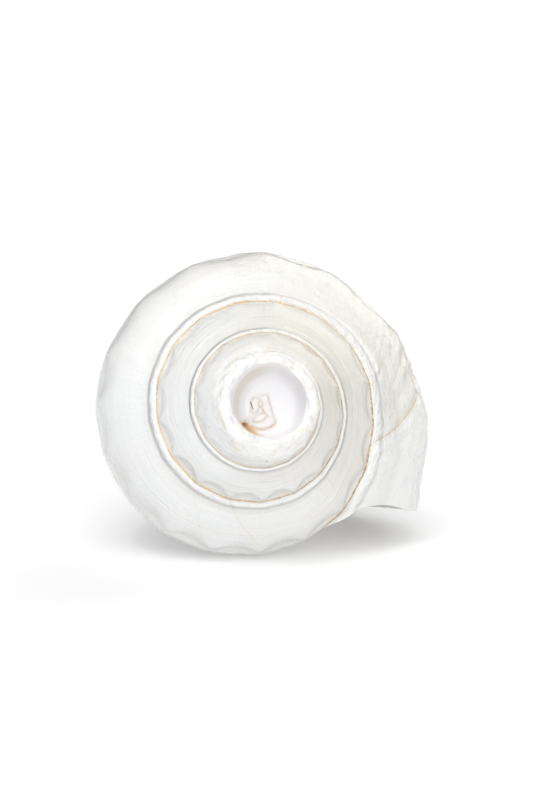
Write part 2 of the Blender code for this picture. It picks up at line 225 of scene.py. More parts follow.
def bump(value, centre, width):
    return np.exp(-(((value - centre) / width) ** 2))


def size_at(turn):
    """Widest radius of the whorl at that turn."""
    return LIP_RADIUS * GROWTH**turn


def hollow_count(turn):
    """Whole numbers are in the middle of the hollows between knobs."""
    return curve_through(*zip(*HOLLOWS), turn)


def knob(turn):
    """1 on a knob, near 0 halfway between two."""
    along = np.cos(np.pi * hollow_count(turn))
    return 1 - np.sqrt(along * along + KNOB_SOFTNESS**2)


def hollow(turn, across):
    """How deep in the scalloped hollow between two knobs, in shares of the band."""
    count = hollow_count(turn)
    off = 2 * np.abs(count - np.round(count))
    past = across - (HOLLOW_FROM + HOLLOW_EDGE * off**HOLLOW_EDGE_POWER)
    soft = HOLLOW_SOFTNESS * (1 + HOLLOW_SOFTER * step(turn, *LAST_WHORL))
    return (past + np.sqrt(past * past + soft**2)) / 2


def less_where_worn(share, turn):
    """That share, smaller where the hollows are worn shallow."""
    for worn_at, worn_turns, gone in HOLLOWS_WORN:
        share = share * (1 - gone * bump(turn, worn_at, worn_turns))
    return share


def swell(turn):
    """How far the last whorl bulges there."""
    edge = EDGE_FLARE * step(turn, -EDGE_TURNS, 0.0)
    return SWELL * bump(turn, SWELL_AT, SWELL_TURNS) + edge + BULGE * bump(turn, BULGE_AT, BULGE_TURNS)


def lag(row, turn):
    """How far a growth line trails the suture there, in turns."""
    across = np.minimum(row, 1.0)
    lean = SLANT * across**0.8
    hook = HOOK * (1 - np.exp(-HOOK_SHARPNESS * across)) + (SLANT - HOOK) * across**4
    back = (SLANT - CANAL_SLANT) * step(row, 1.2, 2.0)
    grown = step(turn, SLANT_FROM, SLANT_FULL)
    return grown * (lean - back) + (hook - lean) * step(turn, HOOK_FROM, 0.0)


def band_shares(across):
    """(share of the way out, share of the way down) on a whorl's visible band."""
    places, outs, downs = zip(*BAND)
    return curve_through(places, outs, across), curve_through(places, downs, across)


def flank(turn, across):
    """(radius, depth) on the visible band, from the whorl's own growth alone."""
    size = size_at(turn)
    covered = COVER + (CLIMB - COVER) * bump(turn, CLIMB_AT, CLIMB_TURNS)
    reach = 1 - covered * step(-turn, 1.0, 1.06)
    out, down = band_shares(across * reach)
    radius = size * (1 + out * (GROWTH - 1)) / GROWTH
    depth = size * SPIRE_SLOPE * (1 + down * (GROWTH - 1)) / GROWTH
    deep = hollow(turn, across) * (1 - HOLLOW_FADE * step(across, 0.88, 1.0))
    deep = less_where_worn(deep * step(turn, *HOLLOWS_SINCE), turn)
    knobs = KNOB_HEIGHT * knob(turn) * step(across, *KNOB_ROWS)
    knobs = knobs * (1 - KNOB_LOWER * step(across, 0.85, 1.0))
    radius += size * (knobs - HOLLOW_IN * deep)
    return radius, depth + size * HOLLOW_DOWN * deep


def band(turn, across, swelling):
    """(radius, depth) on the visible band; across is 0 at its suture and 1 at its widest line."""
    size = size_at(turn)
    radius, depth = flank(turn, across)
    edge_radius, edge_depth = flank(turn - 1, np.ones_like(turn))
    fade = 1 - step(across, 0.0, EDGE_SPREAD)
    radius += (edge_radius - size / GROWTH) * fade
    depth += (edge_depth - size * SPIRE_SLOPE / GROWTH) * fade
    radius += swelling * step(across, 0.1, 0.9)
    late = step(turn, *CORD_WIDENS)
    seen = step(turn, *SUTURE_SEEN)
    middle = 2 * np.asarray(across) / (CORD_WIDTH * (1 + CORD_WIDER * late)) - 1
    uneven = 1 + CORD_UNEVEN * np.sin(71 * turn) * np.sin(29 * turn + 1)
    raised = CORD_HEIGHT * (uneven * seen) * np.maximum(1 - middle * middle, 0.0) ** CORD_POWER
    lowered = CHANNEL_DEPTH * bump(across, CHANNEL_AT, CHANNEL_WIDTH) * step(across, 0.06, CHANNEL_AT)
    lowered = lowered * seen * (1 - CORD_WIDER * late)
    # The channel is shallow on one side of the shell and deep on the other
    lowered = lowered * (0.5 - 0.45 * np.cos(2 * np.pi * (turn + 0.40)))
    return radius, depth - size * (raised - lowered)


def body(turn, depth):
    """Radius of the tapering body, without knobs or folds."""
    size = size_at(turn)
    depths, radii = zip(*BODY)
    radius = size * curve_through(depths, radii, depth / size)
    past = np.clip((turn + 1) / GROOVE_TURNS, 0, 1)
    kept = 1 - step(depth, GROOVE_FROM, GROOVE_FULL) * (1 - past) ** 2
    return PILLAR_RADIUS + (radius - PILLAR_RADIUS) * kept


def outside(turn, depth):
    """Radius below the widest line, with the knobs' ends and the columella's folds."""
    size = size_at(turn)
    low = depth / size
    edge_radius, _ = flank(turn, np.ones_like(turn))
    knobs = (edge_radius - size) * (1 - step(low, SPIRE_SLOPE, 1.55))
    folds = sum(bump(low, fold, FOLD_WIDTH) for fold in FOLDS)
    folds *= 1 - step(turn, -1.0, FOLD_TURNS - 1)
    return body(turn, depth) + knobs + size * FOLD_HEIGHT * folds


def point_at(turn, radius, depth):
    """Places round the axis as points of the shell's own frame."""
    angle = LIP_DIRECTION - 2 * np.pi * turn
    points = np.broadcast_arrays(radius * np.cos(angle), radius * np.sin(angle), -depth)
    return np.stack(points, axis=-1)


def row_depth(widest, row, end):
    """Depth of a row between the widest line and the tube's end."""
    return widest + (end - widest) * (min(row, TUBE_ROW) - 1) / (TUBE_ROW - 1)


def outer_row(turn, row):
    """Points of the outside on one row, at those turns of growth."""
    late = turn - lag(row, turn)
    if row <= 1:
        return point_at(late, *band(late, row, swell(turn)))
    end = TUBE_END * LIP_RADIUS
    if row <= TUBE_ROW:
        depth = row_depth(flank(late, np.ones_like(late))[1], row, end)
    else:
        depth = end + (TIP_DEPTH - end) * (row - TUBE_ROW) / (2 - TUBE_ROW)
    radius = outside(late, depth) + swell(turn) * (1 - step(row, 1.2, 1.8))
    radius -= END_ROUND * step(row, 1.9, 2.0) * step(turn, -1.0, -0.8)
    return point_at(late, radius, np.broadcast_to(depth, np.shape(turn)))


def lining_row(turn, row, outer_wall):
    """Points of the inside on one row: under the outer wall, or on the whorl before it."""
    end = TUBE_END * size_at(turn)
    if row > TUBE_ROW:
        end = end + (TIP_DEPTH - end) * (row - TUBE_ROW) / (2 - TUBE_ROW)
    if not outer_wall:
        depth = row_depth(SPIRE_SLOPE * size_at(turn - 1), row, end)
        return point_at(turn, outside(turn - 1, depth), depth)
    late = turn - lag(row, turn)
    taper = step(turn, -LIP_TAPER_TURNS, 0.0) * step(row, 0.0, 0.7)
    wall = (WALL + (LIP_WALL - WALL) * taper) * GROWTH**late
    size = size_at(late)
    suture = SPIRE_SLOPE * size / GROWTH + WALL * GROWTH**late
    if row <= 1:
        out, down = band_shares(row)
        radius = size / GROWTH + (size * (1 - 1 / GROWTH) - wall) * out
        radius += swell(turn) * step(row, 0.1, 0.9)
        return point_at(late, radius, suture + (SPIRE_SLOPE * size - suture) * down)
    depth = row_depth(SPIRE_SLOPE * size, row, end)
    wall += (CANAL_WALL - wall) * step(row, 1.5, 1.8)
    slope = body(late, depth + 0.5) - body(late, depth - 0.5)
    radius = body(late, depth) - wall * np.sqrt(1 + slope * slope)
    radius += swell(turn) * (1 - step(row, 1.2, 1.8))
    return point_at(late, radius, depth)


def narrowed(points, turns):
    """The same points, drawn together where the tube ends under the mouth hole."""
    size = size_at(turns)
    middle = point_at(turns, NARROW_CENTRE[0] * size, NARROW_CENTRE[1] * size)
    share = step(-turns, -NARROW_FROM, -TUBE_FIRST_TURN)[:, None]
    return middle + (points - middle) * (1 + (NARROWED - 1) * share)


def noise_at(points, scale, seed):
    """Smooth noise from -1 to 1 at each point."""
    moved = np.asarray(points) * scale + seed
    return np.array([noise.noise(Vector(point)) for point in moved])


class Surface:
    """Points, faces, and for each face's corner its (turn, row, growth line)."""

    def __init__(self):
        self.points = []
        self.count = 0
        self.faces = []
        self.places = []
        self.kinds = []

    def add(self, array):
        self.points.append(np.asarray(array, float))
        self.count += len(array)
        return np.arange(self.count - len(array), self.count)

    def line(self, array, turns, row, growth=None):
        """A row of new points, as (numbers, places)."""
        return self.add(array), places_on(turns, row, growth)

    def face(self, corners, places, kind):
        self.faces.append([int(corner) for corner in corners])
        self.places.append(places)
        self.kinds.append(kind)

    def join(self, first, second, kind):
        """A strip of faces between two rows of the same length."""
        (a, pa), (b, pb) = first, second
        quads = np.stack((a[:-1], a[1:], b[1:], b[:-1]), axis=1)
        spots = np.stack((pa[:-1], pa[1:], pb[1:], pb[:-1]), axis=1)
        for quad, spot in zip(quads, spots):
            kept = [k for k in range(4) if quad[k] not in quad[:k]]
            if len(kept) > 2:
                self.face([quad[k] for k in kept], [spot[k] for k in kept], kind)

    def join_all(self, rows, kind):
        """Strips between each row and the next, as long as the shorter of the two."""
        for (a, pa), (b, pb) in zip(rows, rows[1:]):
            length = min(len(a), len(b))
            self.join((a[:length], pa[:length]), (b[:length], pb[:length]), kind)

    def fan(self, ring, middle, place, kind):
        """Triangles from a closed ring to one new point in its middle."""
        (centre,) = self.add(np.array([middle]))
        for a, b in zip(ring, ring[1:] + ring[:1]):
            self.face((a, b, centre), [np.array(place)] * 3, kind)


def places_on(turns, row, growth=None):
    """(turn, row, growth line) at each of those turns on a row."""
    turns = np.asarray(turns, float)
    growth = turns if growth is None else growth
    return np.stack(np.broadcast_arrays(turns, float(row), growth), axis=-1)


def band_rows():
    """Rows across the band, closer together over the cord and its channel and at the edge."""
    near = np.concatenate(([0.0, 0.006, 0.013, 0.021, 0.030], np.linspace(0.042, 0.20, 11)))
    far = np.linspace(0.23, 0.97, 21)
    return np.concatenate((near, far, [0.985, 0.994, 1.0]))


def body_rows():
    """Shares of the way down the body, closer together over the folds."""
    stretches = ((0.012, 0.44, 22), (0.46, 0.74, 20), (0.77, 1.0, 9))
    return np.concatenate([np.linspace(*stretch) for stretch in stretches])


def row_plan():
    """(every row, number of the widest line's, of the last at the rim, of the tube's end)."""
    across = band_rows()
    widest = len(across) - 1
    wall_row = WALL / (TUBE_END * LIP_RADIUS - SPIRE_SLOPE * LIP_RADIUS / GROWTH)
    rim = [1 + (TUBE_ROW - 1) * wall_row * (k + 1) / RIM_ROWS for k in range(RIM_ROWS)]
    below = 1 + (TUBE_ROW - 1) * (wall_row + (1 - wall_row) * body_rows())
    canal = np.linspace(TUBE_ROW, 2.0, CANAL_ROWS + 1)[1:]
    start = widest + RIM_ROWS
    return [*across, *rim, *below, *canal], widest, start, start + len(below)


ROWS, WIDEST, RIM_LAST, TUBE_LAST = row_plan()


def outer_side(made):
    """The outside's rows, joined: a whorl's widest line is the next one's suture."""
    count = round(-FIRST_TURN * STEPS)
    turns = -np.arange(count + 1) / STEPS

    def outer(turn, row):
        return made.line(outer_row(turn, row), turn - lag(row, turn), row, turn)

    grid = [outer(turns, row) for row in ROWS[:WIDEST]]
    own, _ = outer(turns[:STEPS], ROWS[WIDEST])
    shared = grid[0][0][: count + 1 - STEPS]
    edge = places_on(turns - lag(1.0, turns), 1.0, turns)
    grid.append((np.concatenate((own, shared)), edge))
    grid += [outer(turns[: STEPS + 1], row) for row in ROWS[WIDEST + 1 :]]
    made.join_all(grid, OUTSIDE)
    return grid


def closed_tip(made, grid):
    """The first turn's end, in the tip that is ground away."""
    ring = list(grid[0][0][-STEPS - 1 :]) + [row[0][-1] for row in grid[1:WIDEST]]
    tip = (0.0, 0.0, -SPIRE_SLOPE * size_at(FIRST_TURN) / 2)
    made.fan(ring, tip, (FIRST_TURN, 0.5, FIRST_TURN), OUTSIDE)


def lining(made, grid):
    """The inside's rows, joined: (under the outer wall, on the whorl before).

    They meet at the tube's end, except near the aperture, where a slot leads into the canal.
    """
    slot = -SLOT_TURNS * np.arange(SLOT_STEPS) / SLOT_STEPS
    deeper = round((-SLOT_TURNS - TUBE_FIRST_TURN) * TUBE_STEPS)
    turns = np.concatenate((slot, np.linspace(-SLOT_TURNS, TUBE_FIRST_TURN, deeper + 1)))
    closing = np.minimum(-turns / SLOT_TURNS, 1.0)
    under = []
    for row in ROWS[1:RIM_LAST]:
        under.append(made.line(narrowed(lining_row(turns, row, True), turns), turns, row))
    beside = []
    for index, row in enumerate(ROWS[RIM_LAST:], RIM_LAST):
        length = len(turns) if index <= TUBE_LAST else SLOT_STEPS + 1
        here = turns[:length]
        outer_wall = narrowed(lining_row(here, row, True), here)
        inner_wall = narrowed(lining_row(here, row, False), here)
        above = np.clip(1 - (TUBE_LAST - index) / SLOT_CLOSES_OVER, 0, 1)
        narrow = closing[:length] * above
        half = np.sqrt(np.maximum(1 - narrow * narrow, 0))[:, None] * (outer_wall - inner_wall) / 2
        middle = (outer_wall + inner_wall) / 2
        spot = places_on(here, row)
        ids = np.concatenate((grid[index][0][STEPS : STEPS + 1], made.add((middle - half)[1:])))
        beside.append((ids, spot))
        if above < 1:
            under.append((made.add(middle + half), spot))
        else:
            met = beside[-1][0][SLOT_STEPS:]
            under.append((np.concatenate((made.add((middle + half)[:SLOT_STEPS]), met)), spot))
    under.insert(0, beside[0])
    made.join_all(under, LINING)
    made.join_all(beside, LINING)
    return under, beside


def closed_tube(made, under, beside):
    """The tube's far end, where it stops under the mouth hole."""
    length = len(under[0][0])
    ring = [row[0][-1] for row in under[: TUBE_LAST + 1] if len(row[0]) == length]
    ring += [row[0][-1] for row in beside[TUBE_LAST - RIM_LAST : 0 : -1] if len(row[0]) == length]
    ring = list(dict.fromkeys(int(i) for i in ring))
    middle = np.concatenate(made.points)[ring].mean(axis=0)
    made.fan(ring, middle, (TUBE_FIRST_TURN, 1.0, TUBE_FIRST_TURN), LINING)


def rounded_lip(made, grid, under, beside):
    """The lip's edge from the outside to the lining, and the face at the canal's end."""
    every = np.concatenate(made.points)
    outer = np.array([row[0][0] for row in grid])
    inner = np.array([row[0][0] for row in under])
    first, last = every[outer], every[inner]
    ahead = first - every[[row[0][1] for row in grid]]
    ahead *= RIM_ROUND / np.linalg.norm(ahead, axis=1)[:, None]
    spots = np.array([row[1][0] for row in grid])
    lines = [outer]
    for k in range(1, RIM_ROWS):
        share = k / RIM_ROWS
        middle = first + (last - first) * share + 4 * share * (1 - share) * ahead
        shared = grid[WIDEST + k][0][STEPS : STEPS + 1]
        lines.append(np.concatenate((shared, made.add(middle[1:]))))
    lines.append(inner)
    for edge, line in zip(lines, lines[1:]):
        made.join((edge, spots), (line, spots), OUTSIDE)
    loop = [line[-1] for line in lines] + list(under[-1][0][1:])
    loop += list(beside[-1][0][-2:0:-1]) + list(grid[-1][0][STEPS:0:-1])
    made.face(loop, [np.array((0.0, 2.0, 0.0))] * len(loop), OUTSIDE)


def shell_surface():
    """(surface, the outside's rows, how many of its points are outside)."""
    made = Surface()
    grid = outer_side(made)
    outer_points = made.count
    closed_tip(made, grid)
    under, beside = lining(made, grid)
    closed_tube(made, under, beside)
    rounded_lip(made, grid, under, beside)
    return made, grid, outer_points


def corner_normals(points, faces):
    """A normal at each point, from the faces of three or four corners that meet there."""
    normals = np.zeros_like(points)
    for size in (3, 4):
        picked = np.array([face for face in faces if len(face) == size])
        corners = [points[picked[:, k]] for k in range(size)]
        across = corners[2] - corners[0]
        if size == 4:
            facing = np.cross(across, corners[3] - corners[1])
        else:
            facing = np.cross(corners[1] - corners[0], across)
        for k in range(size):
            np.add.at(normals, picked[:, k], facing)
    return normals / np.maximum(np.linalg.norm(normals, axis=1), 1e-9)[:, None]


def rim_lift(angle):
    """How much higher than the cut the rim is in that direction."""
    return RIM_LIFT + RIM_TILT * np.cos(angle - RIM_TILT_TOWARD)


def rim_surface(x, y):
    """(depth of the ground and worn rim there, distance from the hole's middle)."""
    dx, dy = x - HOLE_CENTRE[0], y - HOLE_CENTRE[1]
    out = np.hypot(dx, dy)
    angle = np.arctan2(dy, dx)
    crest = HOLE_RADIUS + RIM_CREST + 0.25 * np.sin(2 * angle + 0.6) + 0.15 * np.sin(5 * angle + 1.9)
    past = out - crest
    outward = np.maximum(past, 0)
    turning = np.minimum(outward, RIM_TURNS_OVER)
    outer = RIM_SLOPE * (turning**2 / (2 * RIM_TURNS_OVER) + outward - turning)
    inner = RIM_INNER_DROP * (np.maximum(-past, 0) / RIM_CREST) ** 2
    wave = 0.18 * np.sin(3 * angle + 0.4) + 0.12 * np.sin(7 * angle + 2.2)
    return CUT_DEPTH - rim_lift(angle) + outer + inner + wave, out


def relief(turn, row, growth, points):
    """How far the outside stands out of its smooth shape, in mm."""
    scale = size_at(turn) / LIP_RADIUS

    def streaks(along, across, seed):
        return noise_at(np.stack((along, across, 0 * row), -1), 1.0, seed)

    lines = growth * WRINKLES
    wrinkle = streaks(lines, row * 1.5, 3.1) + 0.6 * streaks(lines * 2.6, row * 2.5, 7.7)
    late = bump(turn, WRINKLE_LATE_AT, WRINKLE_LATE_TURNS)
    wrinkled = WRINKLE + WRINKLE_LATE * late * step(row, 0.1, 0.4)
    wrinkled *= 1 - 0.7 * step(row, 0.12, 0.05)
    spiral = SPIRAL * streaks(turn * 6, row * 17, 1.3)
    broad = BROAD * noise_at(points, 0.055, 5.0)
    local = LOCAL * noise_at(points, 0.16, 9.0)
    total = scale * (wrinkled * wrinkle + spiral * step(row, 0.1, 0.3))
    total += scale * (broad + local) * step(row, 0.0, 0.15)
    # Rows that the ground tip squeezes together carry none of it
    gone = step(-turn, 2.42, 2.50) * (1 - step(row, 0.0, 0.2))
    gone = np.maximum(gone, step(-turn, 3.30, 3.45) * step(row, 0.75, 0.95))
    total = total * (1 - gone)
    stepped = step(growth, GROWTH_STOP - 0.003, GROWTH_STOP + 0.002)
    total += GROWTH_STEP * stepped * step(row, 0.0, 0.06)
    return total - GROWTH_GROOVE * bump(growth, GROWTH_STOP - 0.0035, 0.003)


def ground(points):
    """The points with the tip worn down to the rim; and how much of each one's relief is left."""
    rim, out = rim_surface(points[:, 0], points[:, 1])
    depth = -points[:, 2]
    near = 1 - step(out - HOLE_RADIUS, *GRIND_REACH)
    apart = rim - depth
    raised = depth + (apart + np.sqrt(apart * apart + GRIND_SOFTNESS**2)) / 2
    blended = depth + near * (raised - depth)
    kept = 1 - near * step(apart, *GRIND_LEAVES)
    # Close to the hole the rim is one rounded ring, wherever a suture was
    angle = np.arctan2(points[:, 1] - HOLE_CENTRE[1], points[:, 0] - HOLE_CENTRE[0])
    reach = RING_REACH + RING_REACH_MORE * np.cos(angle - RIM_TILT_TOWARD)
    ring = (1 - step(out - reach, *RING_FADE)) * (1 - step(-apart, *RING_SINKS))
    blended += ring * (rim - blended)
    kept *= 1 - ring
    changed = points.copy()
    changed[:, 2] = -blended
    return changed, kept


def hollow_share(turn, row):
    """How much of a hollow there is, for its painted shade."""
    scoop = hollow(turn, row)
    edge = 0.020 + 0.05 * step(turn, *LAST_WHORL)
    share = step(scoop, 0.004, edge) * (1 - 0.55 * step(scoop, 0.03, 0.14))
    number = np.round(hollow_count(turn))
    share *= (0.75 + 0.25 * np.sin(2.3 * number + 1.0)) * (row <= 1.0)
    return less_where_worn(share, turn)


def shell_points(made, grid, outer_points):
    """The shell's points with their relief, and (hollow, for painted shade; ground; nothing) shares at each.
    """
    points = np.concatenate(made.points)
    top = slice(0, outer_points)
    places = np.zeros((outer_points, 3))
    for ids, spots in reversed(grid):
        places[ids] = spots[: len(ids)]
    turn, row, growth = places.T
    points[top], kept = ground(points[top])
    normals = corner_normals(points, made.faces)
    worn = WORN_BROAD * noise_at(points[top], 0.30, 2.0) + WORN_FINE * noise_at(points[top], 0.8, 4.0)
    lean = np.zeros((len(points), 1))
    lean[top, 0] = kept * relief(turn, row, growth, points[top]) + (1 - kept) * worn
    wear_and_shade = np.zeros((len(points), 3))
    # The hollows' share, the mask of their painted shade
    wear_and_shade[top, 0] = hollow_share(turn, row)
    wear_and_shade[top, 1] = 1 - kept
    # Faces made inside out have normals that point to the axis on the band
    sample = grid[WIDEST // 2][0][STEPS // 2]
    inward = normals[sample] @ (points[sample] * (1, 1, 0)) < 0
    return points + normals * (-lean if inward else lean), wear_and_shade


def bowl_profile():
    """(radius, depth) from above the rim, over its rounded inner edge, down to the floor."""
    floor = CUT_DEPTH + BOWL_DEPTH
    edge = [
        (13.2, -CUT_DEPTH),
        (12.2, CUT_DEPTH - 7.0),
        (12.0, CUT_DEPTH - 2.0),
        (10.9, CUT_DEPTH - 0.9),
        (10.45, CUT_DEPTH - 0.25),
        (10.1, CUT_DEPTH + 0.35),
        (9.9, CUT_DEPTH + 0.8),
        (9.78, CUT_DEPTH + 1.3),
    ]
    wall_depth = BOWL_DEPTH - BOWL_CORNER - 1.9
    wall = [(9.7 - 0.5 * s * s, CUT_DEPTH + 1.8 + wall_depth * s) for s in np.linspace(0, 1, 8)]
    corner = []
    for a in np.linspace(0, math.pi / 2, 10):
        away, down = BOWL_CORNER * math.cos(a), BOWL_CORNER * math.sin(a)
        corner.append((BOWL_FLOOR + away, floor - BOWL_CORNER + down))
    flat = [(radius, floor) for radius in np.linspace(BOWL_FLOOR, 0.2, 44)[1:]]
    return edge + wall + corner + flat


def bowl():
    """(points, faces, marks) of what is taken out of the ground tip: the mouth hole and its floor.

    The marks are (how much of a brown outline, how much of the crescent, brown with painted shadow, how much
    of a dark mark).
    """
    floor = CUT_DEPTH + BOWL_DEPTH
    profile = bowl_profile()
    angle = 2 * np.pi * np.arange(HOLE_SEGMENTS) / HOLE_SEGMENTS
    uneven = 0.014 * np.sin(2 * angle + 1.0) + 0.008 * np.sin(4 * angle + 0.5) + 0.004 * np.sin(9 * angle + 2)
    leans = np.maximum(np.cos(angle - BOWL_LEANS_TOWARD), 0)
    undercut = np.maximum(np.cos(angle - BOWL_UNDERCUT_TOWARD), 0)
    points = []
    wear_and_shade = []
    for radius, depth in profile:
        shape = 1 + step(-depth, -floor, -CUT_DEPTH - 2) * uneven
        inward = BOWL_LEANS_IN * step(depth, CUT_DEPTH + 1.0, floor - 2.0) * leans
        outward = BOWL_UNDERCUT * step(depth, CUT_DEPTH + 1.4, CUT_DEPTH + 3.4) * undercut
        out = radius * shape - (inward - outward) * step(radius, 2.0, 8.0)
        x, y = out * np.cos(angle), out * np.sin(angle)
        height, brown, crescent, mark = floor_marks(x, y)
        low = step(depth, CUT_DEPTH + 4.5, floor - 1.5)
        down = depth - low * (height - CRESCENT_DEPTH * crescent)
        down = down - rim_lift(angle) * (1 - step(depth, CUT_DEPTH + 1.8, floor - BOWL_CORNER))
        points.append(np.stack((HOLE_CENTRE[0] + x, HOLE_CENTRE[1] + y, -down), -1))
        wear_and_shade.append(np.stack((low * brown, low * crescent, low * mark), -1))
    count = HOLE_SEGMENTS
    bottom = (len(profile) - 1) * count
    faces = [list(range(count)), list(range(bottom, bottom + count))]
    for ring in range(len(profile) - 1):
        for k in range(count):
            a, b = ring * count + k, ring * count + (k + 1) % count
            faces.append([a, b, b + count, a + count])
    return np.concatenate(points), faces, np.concatenate(wear_and_shade)


# The broken top of the columella on the mouth hole's floor, as rounded slabs laid over one
# another: (x, y, half width, half height, turned by degrees, height in mm)
SLABS = (
    (0.8, -0.6, 1.3, 3.3, 14, 0.45), (0.1, 1.7, 1.2, 1.5, 10, 0.50),
    (-0.7, -4.4, 3.6, 1.8, 8, 0.60), (-2.4, 0.2, 1.3, 2.4, -8, 0.65),
    (-1.4, -3.2, 2.4, 1.2, 18, 0.85), (-4.6, -3.9, 0.9, 0.7, 30, 0.60),
    (-1.0, 0.6, 0.6, 0.9, -5, 0.35),
)
# Brown edges on it: (points along the edge, half width, strength)
EDGES = (
    (((1.2, 3.2), (1.5, 0.6), (2.2, -1.7), (3.0, -4.0)), 0.40, 0.42),
    (((3.0, -4.0), (2.7, -4.8), (1.6, -5.6), (-0.1, -6.2), (-2.1, -6.1), (-3.5, -5.3)), 0.32, 0.80),
    (((0.8, -2.7), (-0.4, -4.0), (-1.8, -4.4), (-2.9, -4.1)), 0.50, 0.48),
    (((1.1, -2.9), (0.5, -2.1), (-0.2, -1.6)), 0.28, 0.62),
    (((-2.8, -3.4), (-1.8, -2.6), (-0.4, -2.0)), 0.30, 0.40),
    (((-1.7, 0.0), (-1.5, 0.9), (-0.8, 1.4), (-0.1, 1.2)), 0.34, 0.42),
    (((-0.6, 0.8), (-0.3, 0.3)), 0.55, 0.42),
    (((-1.2, 0.0), (-0.4, -0.9), (0.1, -1.7)), 0.30, 0.58),
    (((0.8, 1.2), (1.6, 0.0), (1.3, -1.1)), 0.40, 0.22),
    (((-3.5, 1.4), (-2.7, 2.3), (-0.7, 3.0), (1.2, 3.2)), 0.50, 0.20),
    (((-4.1, -2.6), (-3.8, -1.4), (-3.5, -1.1)), 0.30, 0.26),
    (((-6.0, -4.0), (-5.0, -3.6), (-3.8, -2.9)), 0.35, 0.40),
)
CRESCENT = ((212, 7.2), (222, 6.3), (237, 6.2), (252, 6.9), (267, 7.5), (282, 8.4), (300, 9.4))
CRESCENT_DEPTH = 0.5
MARK = ((-3.5, 1.1), (-3.3, 0.2), (-3.0, -0.7))


def distance_to_line(x, y, line):
    """How far each place is from a line through those points."""
    nearest = np.full_like(x, 1e9)
    for (ax, ay), (bx, by) in zip(line, line[1:]):
        along = ((x - ax) * (bx - ax) + (y - ay) * (by - ay)) / ((bx - ax) ** 2 + (by - ay) ** 2)
        along = np.clip(along, 0, 1)
        nearest = np.minimum(nearest, np.hypot(x - ax - along * (bx - ax), y - ay - along * (by - ay)))
    return nearest


def floor_marks(x, y):
    """(height, brown edges, crescent, dark mark) on the mouth hole's floor, from the hole's middle."""
    x, y = x + 0.2, y + 0.27
    height = np.zeros_like(x)
    for cx, cy, wide, tall, turned, high in SLABS:
        c, s = math.cos(math.radians(turned)), math.sin(math.radians(turned))
        u = ((x - cx) * c + (y - cy) * s) / wide
        v = (-(x - cx) * s + (y - cy) * c) / tall
        away = np.power(np.abs(u) ** 2.6 + np.abs(v) ** 2.6, 1 / 2.6)
        height = np.maximum(height, high * (1 - step(away, 0.60, 1.10)))
    brown = 0.16 * np.exp(-((((x + 0.4) / 3.4) ** 2 + ((y + 2.0) / 4.6) ** 2) ** 2))
    for line, wide, strength in EDGES:
        brown = np.maximum(brown, strength * bump(distance_to_line(x, y, line), 0.0, 1.25 * wide))
    out = np.hypot(x, y)
    angle = np.degrees(np.arctan2(y, x)) % 360
    places, inner = zip(*CRESCENT)
    edge = curve_through(places, inner, angle)
    within = step(out, edge - 0.35, edge + 0.75) * step(angle, 213, 218)
    crescent = within * (1 - step(angle, 232, 285)) * (0.70 + 0.30 * (1 - step(angle, 217, 232)))
    mark = bump(distance_to_line(x, y, MARK), 0.0, 0.16)
    return height, brown, crescent, mark


def laid(points):
    """Points of the shell's own frame, as it lies on the floor."""
    return points @ np.array(FROM_SHELL.to_3x3()).T + VIRTUAL_TIP


def mesh_object(name, points, faces, wear_and_shade, places=None, kinds=None):
    """A mesh of those points, in mm, with its shares of worn ground, marks and painted shade, and its places,
    kept for its material.
    """
    data = bpy.data.meshes.new(name)
    data.from_pydata((points * MM).tolist(), [], faces)
    # Shares of worn ground, marks and painted shade, for the materials
    worn = data.attributes.new("wear_and_shade", "FLOAT_VECTOR", "CORNER")
    corners = np.concatenate([np.asarray(face) for face in faces])
    worn.data.foreach_set("vector", wear_and_shade[corners].astype(np.float32).ravel())
    spots = data.attributes.new("place", "FLOAT_VECTOR", "CORNER")
    if places is not None:
        flat = np.array([spot for face in places for spot in face], np.float32)
        spots.data.foreach_set("vector", flat.ravel())
        data.polygons.foreach_set("material_index", np.array(kinds, np.int32))
    data.update()
    shape = bpy.data.objects.new(name, data)
    bpy.context.scene.collection.objects.link(shape)
    return shape


def face_out(shape):
    """Turns every face of a closed mesh outwards."""
    bpy.context.view_layer.objects.active = shape
    bpy.ops.object.select_all(action="DESELECT")
    shape.select_set(True)
    bpy.ops.object.mode_set(mode="EDIT")
    bpy.ops.mesh.select_all(action="SELECT")
    bpy.ops.mesh.normals_make_consistent(inside=False)
    bpy.ops.object.mode_set(mode="OBJECT")


class Value:
    """What a node puts out, so that sums and products of it are written as formulas."""

    def __init__(self, nodes, socket):
        self.nodes = nodes
        self.socket = socket

    def __add__(self, other):
        return self.nodes.math("ADD", self, other)

    __radd__ = __add__

    def __sub__(self, other):
        return self.nodes.math("SUBTRACT", self, other)

    def __rsub__(self, other):
        return self.nodes.math("SUBTRACT", other, self)

    def __mul__(self, other):
        return self.nodes.math("MULTIPLY", self, other)

    def __truediv__(self, other):
        return self.nodes.math("DIVIDE", self, other)

    def __rpow__(self, base):
        return self.nodes.math("POWER", base, self)

    def __abs__(self):
        return self.nodes.math("ABSOLUTE", self)


